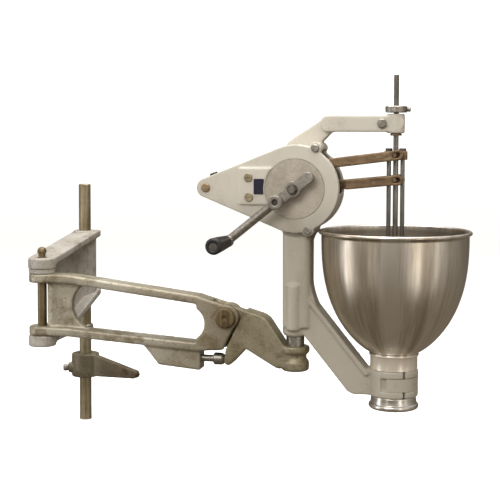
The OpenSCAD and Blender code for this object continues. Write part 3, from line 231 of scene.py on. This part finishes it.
def faced_plate(name, centre, dark, light):
    """Lathe-faced plate: rings round an axis along Y, grey film and specks."""
    ring_pitch = 2600
    f = Finish(name, Metallic=0.45)
    x = f.axis("X") - centre[0]
    z = f.axis("Z") - centre[2]
    radius = (x * x + z * z) ** 0.5
    rings = (radius * ring_pitch).math("SINE") * 0.5 + 0.5
    film = f.noise(scale=12, detail=6, roughness=0.6)
    specks = f.noise(scale=160, detail=3, roughness=0.6)
    f.feed("Base Color", f.mix((film * 0.7 + specks * 0.3).step(0.34, 0.68), dark, light))
    f.feed("Roughness", 0.40 + film * 0.15 + rings * 0.05)
    f.bump(rings * 0.3 + specks * 0.3, depth=0.0002)
    return f.material


def bar_bronze(name, dark, light, worn):
    """Flat bronze bar: brown film with streaks along it, and paler patches in places that are partly rubbed
    wear and partly painted highlights.
    """
    f = Finish(name, Metallic=0.65)
    streaks = f.noise(scale=150, detail=4, roughness=0.6, stretch=(0.14, 1, 1))
    film = f.noise(scale=26, detail=6, roughness=0.65)
    rubs = f.noise(scale=40, detail=5, roughness=0.7, stretch=(0.5, 1, 1), shift=(2, 5, 1))
    rubs_and_highlights = rubs.step(0.56, 0.70)
    tone = f.mix((streaks * 0.5 + film * 0.5).step(0.34, 0.66), dark, light)
    # Partly painted highlight: the paler patches stand both for rubbed wear and for highlights.
    f.feed("Base Color", f.mix(rubs_and_highlights * 0.8, tone, worn))
    f.feed("Roughness", 0.42 - rubs_and_highlights * 0.12 + film * 0.15)
    f.bump(streaks * 0.5 + film * 0.6, depth=0.0005)
    return f.material


def spun_steel(name, axis_xy, neck_z):
    """Spun bowl: upright darker and paler bands round the axis, which are painted reflections, fine rings,
    smears, painted shade on the inner wall and throat, and a painted highlight: a paler, less metallic neck
    below a height."""
    # Painted reflections: the darker and paler colours of the upright bands round the axis.
    dark_reflection, bright_reflection = (0.52, 0.45, 0.36), (0.86, 0.82, 0.76)
    smear_tone, neck_highlight_tone, inside_shade_tone = (0.50, 0.43, 0.34), (0.90, 0.82, 0.70), (0.34, 0.295, 0.24)
    f = Finish(name)
    x = f.axis("X") - axis_xy[0]
    y = f.axis("Y") - axis_xy[1]
    span = (x * x + y * y) ** 0.5 + 0.001
    turned = {"X": x / span, "Y": y / span, "Z": f.axis("Z") * 0.5}
    round_axis = f.node("ShaderNodeCombineXYZ", turned).outputs[0]
    # Painted reflections: upright bands and finer streaks round the axis are drawn into the colour.
    reflection_bands = f.noise(scale=3.4, detail=3, place=round_axis)
    streaks = f.noise(scale=26, detail=4, roughness=0.6, place=round_axis)
    rings = f.noise(scale=1.0, detail=3, roughness=0.7, stretch=(0, 0, 1500))
    smear = f.noise(scale=14, detail=6, roughness=0.65)
    # Painted shade: the inner wall and throat, marked by this attribute, turn darker.
    inside = f.value("ShaderNodeAttribute", "Fac", {}, attribute_name="inside")
    tone = f.mix((reflection_bands * 0.7 + streaks * 0.3).step(0.38, 0.62), dark_reflection, bright_reflection)
    smeared = f.mix(smear.step(0.50, 0.78) * 0.35, tone, smear_tone)
    # Painted highlight: below a height the neck turns paler and less metallic.
    neck = 1 - f.axis("Z").step(neck_z - 0.004, neck_z - 0.002)
    with_neck_highlight = f.mix(neck * 0.85, smeared, neck_highlight_tone)
    f.feed("Base Color", f.mix(inside * 0.9, with_neck_highlight, inside_shade_tone))
    f.feed("Metallic", 1 - neck * 0.5)
    f.feed("Roughness", 0.20 + rings * 0.10 + smear * 0.12 + inside * 0.16)
    f.bump(rings + streaks * 0.15, depth=0.00010)
    return f.material


def moulded(name, colour, lift, rough):
    """Moulded or enamelled piece: near-even colour with faint scuffs."""
    f = Finish(name, Metallic=0.0)
    scuff = f.noise(scale=120, detail=5, roughness=0.7)
    f.feed("Base Color", f.mix(scuff.step(0.5, 0.8) * 0.6, colour, lift))
    f.feed("Roughness", rough + scuff * 0.2)
    f.bump(scuff, depth=0.0002)
    return f.material


# Surfaces: grids of points made with numpy

def grid_mesh(name, points, closed):
    """A surface of quads from a grid of points: its rows go all the way round, and its columns meet again
    where it is closed."""
    rows, columns, _ = points.shape
    index = np.arange(rows * columns).reshape(rows, columns)
    u = np.arange(rows)
    v = np.arange(columns if closed else columns - 1)
    uu, vv = np.meshgrid(u, v, indexing="ij")
    un, vn = (uu + 1) % rows, (vv + 1) % columns
    quads = np.stack([index[uu, vv], index[un, vv], index[un, vn], index[uu, vn]], -1).reshape(-1, 4)
    mesh = bpy.data.meshes.new(name)
    mesh.from_pydata(points.reshape(-1, 3).tolist(), [], quads.tolist())
    mesh.polygons.foreach_set("use_smooth", np.ones(len(quads), bool))
    mesh.update()
    made = bpy.data.objects.new(name, mesh)
    bpy.context.scene.collection.objects.link(made)
    return made


def close_poles(piece):
    """Merges the points that a surface of revolution has on its axis into one point at each pole."""
    shape = bmesh.new()
    shape.from_mesh(piece.data)
    bmesh.ops.remove_doubles(shape, verts=shape.verts, dist=1e-7)
    shape.to_mesh(piece.data)
    shape.free()


def revolve(name, profile, centre, axis, around, closed=True):
    """Surface of revolution: each (radius, height) of a closed or open profile is turned about an axis
    through the centre. The point at turn t is centre + height * axis + radius * (cos t * side + sin t * up).
    """
    axis = np.asarray(axis, float)
    side = np.cross(axis, (0.0, 0.0, 1.0)) if abs(axis[2]) < 0.9 else np.array((1.0, 0.0, 0.0))
    up = np.cross(axis, side)
    t = np.linspace(0, 2 * math.pi, around, endpoint=False)
    radius, height = np.asarray(profile, float).T
    ring = np.cos(t)[:, None] * side + np.sin(t)[:, None] * up
    along = height[None, :, None] * axis
    points = np.asarray(centre, float) + along + radius[None, :, None] * ring[:, None, :]
    made = grid_mesh(name, points, closed)
    if radius.min() == 0:
        close_poles(made)
    return made


def arc(centre, radius, start, end, count):
    """Points of a circular arc in the profile plane, in degrees."""
    t = np.radians(np.linspace(start, end, count))
    return [(centre[0] + radius * math.cos(a), centre[1] + radius * math.sin(a)) for a in t]


def sharp(corners, inset=0.0001):
    """A profile whose corners stay crisp: on each straight stretch, one more point close to either end."""
    corners = np.asarray(corners, float)
    way = np.diff(corners, axis=0)
    length = np.linalg.norm(way, axis=1)
    way *= (np.minimum(inset, length / 3) / length)[:, None]
    near = np.stack([corners[:-1], corners[:-1] + way, corners[1:] - way], 1)
    return [tuple(p) for p in near.reshape(-1, 2)] + [tuple(corners[-1])]


def middle(node):
    """Middle of a CAD node's box."""
    low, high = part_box(node)
    return (low + high) / 2


# Which finish each node wears

UPRIGHT = (0, 0, 1)
ALONG_Z = (1, 1, 0.05)
NECK_H = 0.031
slot_of = {s["node"]: s["material_slot"] for s in frame["record"]["subparts"]}
hopper_axis = middle("hopper")
hopper_low, hopper_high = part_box("hopper")
neck_top = hopper_low.z + NECK_H

finishes = {
    # In both paints the darker tone below a height is painted shade.
    "frame_paint": paint("frame_paint", above=(0.62, 0.585, 0.51), below=(0.475, 0.44, 0.37),
                         shade_turn_z=0.49, spread=0.06, stain=(0.27, 0.225, 0.155)),
    "cream_paint": paint("cream_paint", above=(0.61, 0.575, 0.50), below=(0.44, 0.41, 0.35),
                         shade_turn_z=0.505, spread=0.05, stain=(0.29, 0.245, 0.17)),
    "cast_metal": cast_metal("cast_metal", dark=(0.33, 0.29, 0.21), light=(0.60, 0.56, 0.47),
                             stain=(0.17, 0.125, 0.06), metallic=0.70, rough=0.34,
                             darker_from=0.24, darker_to=0.42),
    "cast_grey": cast_metal("cast_grey", dark=(0.34, 0.31, 0.265), light=(0.54, 0.51, 0.465),
                            stain=(0.21, 0.165, 0.105), metallic=0.30, rough=0.42),
    "cast_brown": cast_metal("cast_brown", dark=(0.23, 0.19, 0.115), light=(0.44, 0.395, 0.29),
                             stain=(0.13, 0.095, 0.045), metallic=0.70, rough=0.36),
    "lever_cast": cast_metal("lever_cast", dark=(0.17, 0.145, 0.10), light=(0.32, 0.285, 0.20),
                             stain=(0.07, 0.04, 0.016), metallic=0.55, rough=0.36,
                             darker_from=0.015, darker_to=0.06),
    "worn_steel": steel("worn_steel", dark=(0.21, 0.19, 0.16), light=(0.43, 0.40, 0.36), rough=0.28),
    "post_steel": steel("post_steel", dark=(0.20, 0.155, 0.08), light=(0.46, 0.40, 0.28), rough=0.36,
                        along=ALONG_Z, metallic=0.8),
    "pin_steel": steel("pin_steel", dark=(0.10, 0.07, 0.03), light=(0.27, 0.21, 0.12), rough=0.34,
                       along=ALONG_Z, metallic=0.8),
    "dark_steel": steel("dark_steel", dark=(0.045, 0.04, 0.034), light=(0.16, 0.14, 0.12), rough=0.38,
                        metallic=0.7),
    "plate_steel": faced_plate("plate_steel", middle("bearing_plate"), dark=(0.36, 0.32, 0.26),
                               light=(0.56, 0.51, 0.44)),
    "bronze": bar_bronze("bronze", dark=(0.12, 0.075, 0.042), light=(0.29, 0.20, 0.12),
                         worn=(0.52, 0.42, 0.29)),
    "rod_steel": steel("rod_steel", dark=(0.11, 0.10, 0.085), light=(0.32, 0.30, 0.265), rough=0.24,
                       along=(1, 1, 0.04)),
    "bright_steel": steel("bright_steel", dark=(0.60, 0.56, 0.51), light=(0.82, 0.79, 0.75), rough=0.16,
                          along=(0.05, 0.05, 1), metallic=1.0),
    "hopper_steel": spun_steel("hopper_steel", hopper_axis, neck_top),
    "black_plastic": moulded("black_plastic", colour=(0.010, 0.010, 0.011), lift=(0.035, 0.035, 0.035),
                             rough=0.30),
    "blue_plastic": moulded("blue_plastic", colour=(0.003, 0.003, 0.020), lift=(0.010, 0.010, 0.045),
                            rough=0.34),
}
own_finish = {"bracket": "cast_grey", "hinge_washer": "cast_grey", "knuckle": "cast_brown",
              "lever_collar": "lever_cast", "tilt_bolt": "pin_steel", "hinge_pin": "pin_steel",
              "pad_screws": "post_steel", "clamp_screws": "frame_paint"}


def dress(piece, node):
    """Gives a piece the finish of a CAD node: its own, or its slot's."""
    piece.data.materials.clear()
    piece.data.materials.append(finishes[own_finish.get(node, slot_of[node])])


def skin(piece, node, body):
    """Lets a surface stand for a CAD node on its body, with that node's finish."""
    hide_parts(node)
    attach(piece, body)
    dress(piece, node)


for name, piece in nodes.items():
    dress(piece, name)


# Hopper: a spun bowl on a short neck with a bead round it, and a rolled bead at the rim

NECK_R = 0.044
BOWL_H = 0.220
WALL = 0.0018
RIM_BEAD_R = 0.0035
NECK_INSET = 0.0006
NECK_BEAD_R = 0.0026
NECK_BEAD_DROP = 0.0040
NECK_BEAD_ROOM = 0.0032
BOWL_FLARE = 2.7
BOWL_FULLNESS = 0.79
BOWL_RINGS = 110
BOWL_CROWDING = 1.4
BOWL_AROUND = 256


def hopper_skin():
    """Revolves the wall of the bowl. With t from 0 at the neck to 1 at the rim, its outer radius is
    neck + (rim - neck) * (1 - (1 - t) ** flare) ** fullness at the height t. The inner wall lies one
    thickness inside, square to the outer one. The attribute "inside" is 1 on the inner wall and throat."""
    rim_r = (hopper_high.x - hopper_low.x) / 2 - 2 * RIM_BEAD_R + WALL
    tube_r = NECK_R - NECK_INSET
    edge = 0.0005
    ends = 3
    t = np.linspace(0, 1, BOWL_RINGS) ** BOWL_CROWDING
    out_r = NECK_R + (rim_r - NECK_R) * (1 - (1 - t) ** BOWL_FLARE) ** BOWL_FULLNESS
    out_z = neck_top + BOWL_H * t
    slope = np.stack([np.gradient(out_r), np.gradient(out_z)], -1)
    slope /= np.linalg.norm(slope, axis=1, keepdims=True)
    in_r = out_r - WALL * slope[:, 1]
    in_z = out_z + WALL * slope[:, 0]
    outside = list(zip(out_r[ends:-ends], out_z[ends:-ends]))
    inside = list(zip(in_r[-ends - 1:ends + 1:-1], in_z[-ends - 1:ends + 1:-1]))
    foot = [(NECK_R - WALL, hopper_low.z), (tube_r, hopper_low.z)]
    neck = [(tube_r, hopper_low.z + edge), (tube_r, neck_top - (NECK_BEAD_DROP + NECK_BEAD_ROOM))]
    neck_bead = arc((tube_r, neck_top - NECK_BEAD_DROP), NECK_BEAD_R, -80, 80, 9)
    rim_bead = arc((rim_r + RIM_BEAD_R - WALL, neck_top + BOWL_H), RIM_BEAD_R, -118, 178, 26)
    throat = [(NECK_R - WALL, neck_top + 0.001), (NECK_R - WALL, hopper_low.z + edge)]
    profile = foot + neck + neck_bead + outside + rim_bead + inside + throat
    bowl = revolve("hopper_skin", profile, (hopper_axis.x, hopper_axis.y, 0), UPRIGHT, BOWL_AROUND)
    within = np.zeros(len(profile))
    within[-len(inside) - len(throat):] = 1
    mark = bowl.data.attributes.new("inside", "FLOAT", "POINT")
    mark.data.foreach_set("value", np.tile(within, BOWL_AROUND))
    return bowl


skin(hopper_skin(), "hopper", "depositor")


# Outlet ring: a narrow neck that swells to a rounded lip

RING_R = 0.046
RING_NECK_R = 0.0415
RING_BORE_R = 0.025
RING_SEAT = 0.008
LINER_R = 0.03402
LIP_R = 0.0055
LIP_RISE = 0.0060
FLANK_SHORTFALL = 0.0135
RING_FOOT_INSET = 0.0075


def outlet_skin():
    """Revolves the ring: a round lip, a flank whose radius falls from the lip to the neck as a quarter of a
    sine while it rises evenly, a flat crown, and a bore with a seat for the cylinder."""
    low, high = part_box("outlet_ring")
    crown_edge, bore_edge = 0.0004, 0.0008
    lip = arc((RING_R - LIP_R, low.z + LIP_RISE), LIP_R, -85, 62, 20)
    lip_r, lip_z = lip[-1]
    rise = np.linspace(0, 1, 16)[1:]
    flank_r = lip_r + (RING_NECK_R - lip_r) * np.sin(rise * math.pi / 2)
    flank_z = lip_z + (high.z - low.z - FLANK_SHORTFALL) * rise
    crown = [(RING_NECK_R, high.z - crown_edge), (RING_NECK_R - crown_edge, high.z), (LINER_R, high.z)]
    bore = [(LINER_R, low.z + RING_SEAT), (RING_BORE_R, low.z + RING_SEAT), (RING_BORE_R, low.z + bore_edge),
            (RING_BORE_R + bore_edge, low.z), (RING_R - RING_FOOT_INSET, low.z)]
    profile = lip + list(zip(flank_r, flank_z)) + crown + bore
    return revolve("outlet_skin", profile, (hopper_axis.x, hopper_axis.y, 0), UPRIGHT, 192)


skin(outlet_skin(), "outlet_ring", "depositor")


# Grip: a barrel that widens to a rounded end, hollow for its spindle

GRIP_ROOT_R = 0.0115
GRIP_END_R = 0.0150
GRIP_ROUND_R = 0.0042
SPINDLE_R = 0.00506
SPINDLE_HEAD_R = 0.00695
SPINDLE_HEAD_H = 0.0062


def grip_skin():
    """Revolves the grip about Y. From root to end the radius grows by 0.55 of a straight line and 0.45 of a
    quarter sine."""
    low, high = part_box("grip")
    centre = middle("grip")
    length = high.y - low.y
    edge = 0.0015
    s = np.linspace(0, 1, 40)
    barrel_r = GRIP_ROOT_R + (GRIP_END_R - GRIP_ROOT_R) * (0.55 * s + 0.45 * np.sin(s * math.pi / 2))
    barrel_h = edge + s * (length - GRIP_ROUND_R - edge)
    root = [(SPINDLE_R, 0), (GRIP_ROOT_R - edge, 0)]
    rounded = arc((GRIP_END_R - GRIP_ROUND_R, length - GRIP_ROUND_R), GRIP_ROUND_R, 8, 88, 10)
    socket = [(SPINDLE_HEAD_R, length), (SPINDLE_HEAD_R, length - SPINDLE_HEAD_H),
              (SPINDLE_R, length - SPINDLE_HEAD_H)]
    profile = root + list(zip(barrel_r, barrel_h)) + rounded + socket
    return revolve("grip_skin", profile, (centre.x, high.y, centre.z), (0, -1, 0), 96)


skin(grip_skin(), "grip", "grip")


# Post and hinge pin: turned rods, the post with a shallow mark round it, the pin with a domed head

POST_EDGE = 0.0015
MARK_Z = 0.091
MARK_H = 0.003
MARK_DEPTH = 0.0005
PIN_NECK_R = 0.007
PIN_NECK_H = 0.009
PIN_HEAD_H = 0.012
ROD_AROUND = 96


def post_skin():
    """Revolves the post's outline, with the mark's groove and a bevelled top."""
    low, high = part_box("post")
    radius = (high.x - low.x) / 2
    groove_r = radius - MARK_DEPTH
    profile = [(0, low.z), (radius, low.z), (radius, MARK_Z), (groove_r, MARK_Z),
               (groove_r, MARK_Z + MARK_H), (radius, MARK_Z + MARK_H), (radius, high.z - POST_EDGE),
               (radius - POST_EDGE, high.z), (0, high.z)]
    return revolve("post_skin", sharp(profile), (0, 0, 0), UPRIGHT, ROD_AROUND, closed=False)


def hinge_pin_skin():
    """Revolves the pin's outline: a shank, a narrow neck, and a head that ends in a half ball."""
    low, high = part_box("hinge_pin")
    axis = middle("hinge_pin")
    radius = (high.x - low.x) / 2
    head_z = high.z - PIN_HEAD_H
    neck_z = head_z - PIN_NECK_H
    shank = sharp([(0, low.z), (radius, low.z), (radius, neck_z), (PIN_NECK_R, neck_z),
                   (PIN_NECK_R, head_z), (radius, head_z)])
    dome = arc((0, high.z - radius), radius, 0, 86, 14) + [(0, high.z)]
    return revolve("hinge_pin_skin", shank + dome, (axis.x, axis.y, 0), UPRIGHT, ROD_AROUND, closed=False)


skin(post_skin(), "post", "post")
skin(hinge_pin_skin(), "hinge_pin", "bracket")


# Castings and bars: an even skin over the solid, by its cell size, and rounded edges, by smoothing passes

softened = {"frame": (0.0018, 7), "head_cover": (0.0016, 5), "bracket": (0.0018, 7), "swing_arm": (0.0018, 8),
            "knuckle": (0.0015, 9), "lever_collar": (0.0013, 7), "upper_lever": (0.0012, 3),
            "lower_lever": (0.0012, 3), "crank_arm": (0.0009, 6), "crank_hub": (0.0008, 4),
            "tilt_bolt": (0.0008, 4), "crosshead": (0.0007, 3), "rod_eye": (0.0007, 3)}
for name, (cell, passes) in softened.items():
    even = nodes[name].modifiers.new("even", "REMESH")
    even.mode = "VOXEL"
    even.voxel_size = cell
    even.use_smooth_shade = True
    soft = nodes[name].modifiers.new("soften", "SMOOTH")
    soft.factor = 0.5
    soft.iterations = passes


# Camera: matched to the photograph

CAMERA_PLACE = (0.9241, -2.4180, 0.6250)
AZIMUTH, PITCH, ROLL = np.radians((13.009, 3.314, 0.167)).tolist()

view = bpy.data.cameras.new("camera")
view.sensor_width = 36.0
view.lens = 85.82
view.shift_y = -0.1
eye = bpy.data.objects.new("camera", view)
bpy.context.scene.collection.objects.link(eye)
bpy.context.scene.camera = eye
ahead = Vector((-math.sin(AZIMUTH) * math.cos(PITCH), math.cos(AZIMUTH) * math.cos(PITCH), -math.sin(PITCH)))
turn = ahead.to_track_quat("-Z", "Y").to_matrix().to_4x4() @ Matrix.Rotation(ROLL, 4, "Z")
eye.matrix_world = Matrix.Translation(CAMERA_PLACE) @ turn


# Studio: a round pale floor that sweeps up into a wall, lights above, in front and beside, and a sky

STUDIO_CENTRE = (0.45, -0.2, 0)
FLOOR_R = 4.6
FLOOR_RINGS = 24
FLOOR_DROP = 0.0005
SWEEP_R = 1.4
WALL_TOP = 7.0


def studio_floor():
    """Revolves a flat floor, a quarter circle and an upright wall, from the wall's top to the middle so that
    the faces point up and inwards."""
    t = np.radians(np.linspace(0, 90, 16))[1:]
    radius = np.concatenate([np.linspace(0, FLOOR_R, FLOOR_RINGS), FLOOR_R + SWEEP_R * np.sin(t),
                             [FLOOR_R + SWEEP_R]])
    height = np.concatenate([np.zeros(FLOOR_RINGS), SWEEP_R * (1 - np.cos(t)), [WALL_TOP]]) - FLOOR_DROP
    profile = list(zip(radius, height))[::-1]
    return revolve("floor", profile, STUDIO_CENTRE, UPRIGHT, 96, closed=False)


def floor_white(name):
    """Matt white that glows a little, more on the wall than on the floor."""
    f = Finish(name, Metallic=0.0, Roughness=0.9, Emission_Strength=1.0)
    f.feed("Base Color", f.mix(f.noise(scale=1.5, detail=3), (0.84, 0.84, 0.83), (0.88, 0.88, 0.87)))
    f.feed("Emission Color", f.mix(f.axis("Z").step(0.0, 1.0), (0.42, 0.42, 0.42), (1.0, 1.0, 1.0)))
    return f.material


floor = studio_floor()
floor.data.materials.append(floor_white("floor_white"))
floor.visible_diffuse = False
floor.visible_glossy = False
floor.visible_shadow = False


def soft_light(name, place, target, size, power, colour):
    """A rectangular light that faces the target."""
    lamp = bpy.data.lights.new(name, "AREA")
    lamp.shape = "RECTANGLE"
    lamp.size, lamp.size_y = size
    lamp.energy = power
    lamp.color = colour
    made = bpy.data.objects.new(name, lamp)
    bpy.context.scene.collection.objects.link(made)
    aim = (Vector(target) - Vector(place)).to_track_quat("-Z", "Y").to_matrix().to_4x4()
    made.matrix_world = Matrix.Translation(place) @ aim
    made.visible_camera = False


def strip(name, turn, size, centre_z, power, colour, far=1.9):
    """An upright strip of light that faces the hopper, turned in degrees to the right of the camera."""
    away = eye.location - hopper_axis
    angle = math.atan2(away.x, -away.y) + math.radians(turn)
    place = (hopper_axis.x + far * math.sin(angle), hopper_axis.y - far * math.cos(angle), centre_z)
    soft_light(name, place, (hopper_axis.x, hopper_axis.y, centre_z), size, power, colour)


def sky(below, left, right, behind, above):
    """Light all round by direction: one colour below; level with the object, one to the left, one to the
    right and one behind it; and one above."""
    world = bpy.data.worlds.new("sky")
    world.use_nodes = True
    n = Nodes(world.node_tree, "Generated")
    height = n.axis("Z")
    sides = n.mix(n.axis("X").step(-0.3, 0.9), left, right)
    level = n.mix(n.axis("Y").step(-0.1, 0.8), sides, behind)
    low = n.mix(height.step(-0.55, 0.15), below, level)
    n.put(n.tree.nodes["Background"].inputs["Color"], n.mix(height.step(0.10, 0.85), low, above))
    bpy.context.scene.world = world


soft_light("above", place=(0.45, -0.1, 2.4), target=(0.42, -0.2, 0.3), size=(2.4, 1.2), power=50,
           colour=(1.0, 0.985, 0.96))
soft_light("front", place=(0.1, -2.2, 1.6), target=(0.5, -0.2, 0.45), size=(1.2, 0.5), power=22,
           colour=(1.0, 0.97, 0.93))
strip("left", turn=-76, size=(0.30, 1.8), centre_z=0.45, power=7, colour=(0.97, 0.98, 1.0))
strip("left_near", turn=-34, size=(0.10, 2.0), centre_z=0.40, power=1.3, colour=(1.0, 0.97, 0.92))
strip("right_near", turn=34, size=(0.14, 2.0), centre_z=0.40, power=4.8, colour=(1.0, 0.96, 0.89))
strip("right", turn=64, size=(0.12, 1.8), centre_z=0.45, power=1.4, colour=(1.0, 0.94, 0.86))
sky(below=(0.18, 0.15, 0.11), left=(0.24, 0.215, 0.18), right=(0.42, 0.38, 0.33),
    behind=(0.13, 0.115, 0.095), above=(0.78, 0.765, 0.735))
bpy.context.scene.view_settings.view_transform = "Standard"
